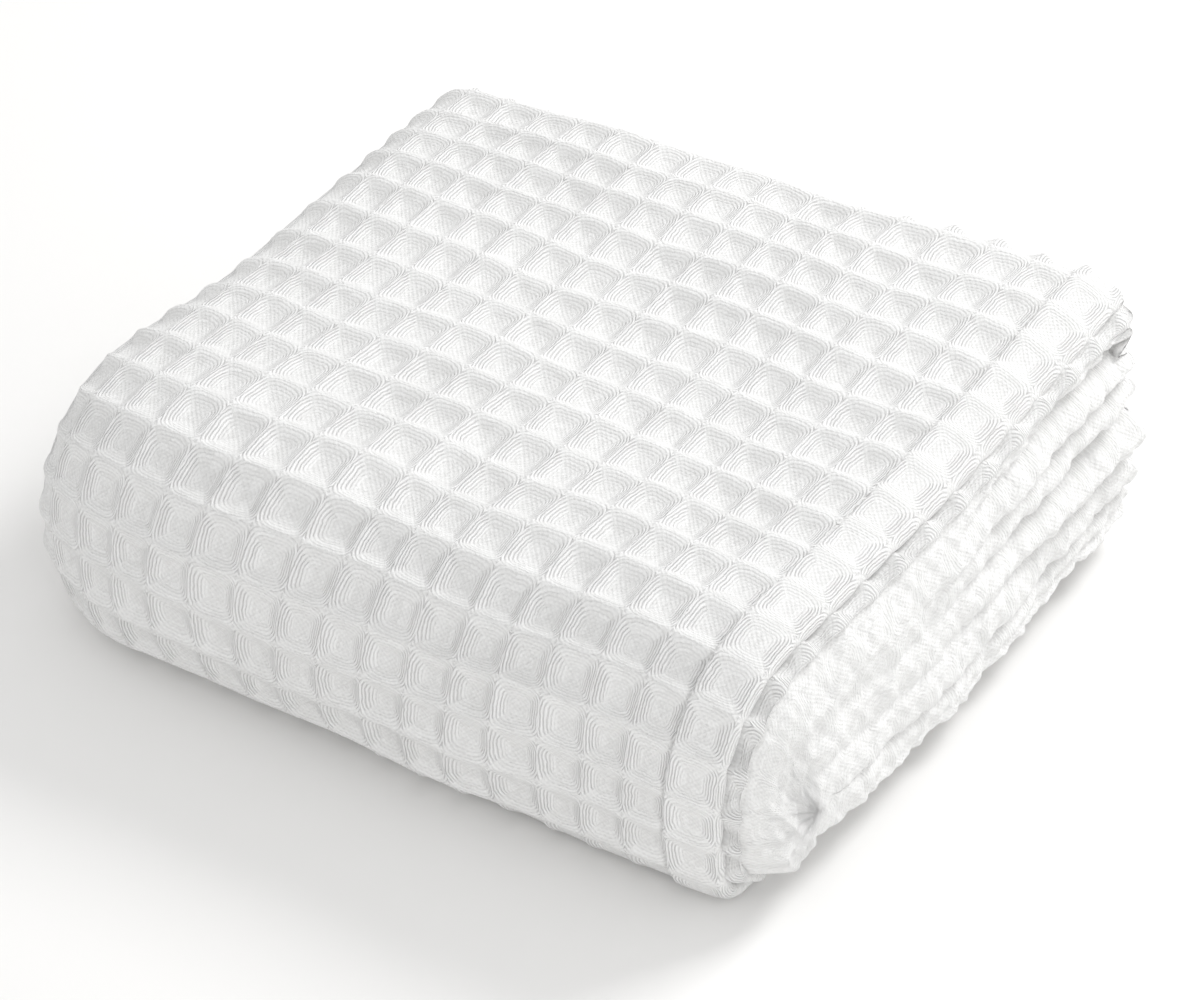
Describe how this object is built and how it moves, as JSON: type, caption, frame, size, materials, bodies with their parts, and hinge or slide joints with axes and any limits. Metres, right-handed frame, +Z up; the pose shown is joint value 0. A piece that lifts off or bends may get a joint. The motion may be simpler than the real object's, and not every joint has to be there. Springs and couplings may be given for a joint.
{
  "type": "folded waffle weave blanket",
  "caption": "White waffle weave cotton blanket folded into a soft rectangular packet, with a rounded spine along the front and its hemmed layer ends at one side.",
  "frame": {"origin": "middle of the packet's outline seen from above, at the level of its underside", "axes": "+X along the rounded spine towards the hemmed end, +Y from the spine to the back, +Z up"},
  "size_m": [0.336, 0.3104, 0.121],
  "materials": {
    "white_cotton": "undyed white cotton in a deep waffle weave, matt and soft, uncoated"
  },
  "bodies": {
    "root": {"folded_blanket": "white_cotton"}
  },
  "joints": []
}
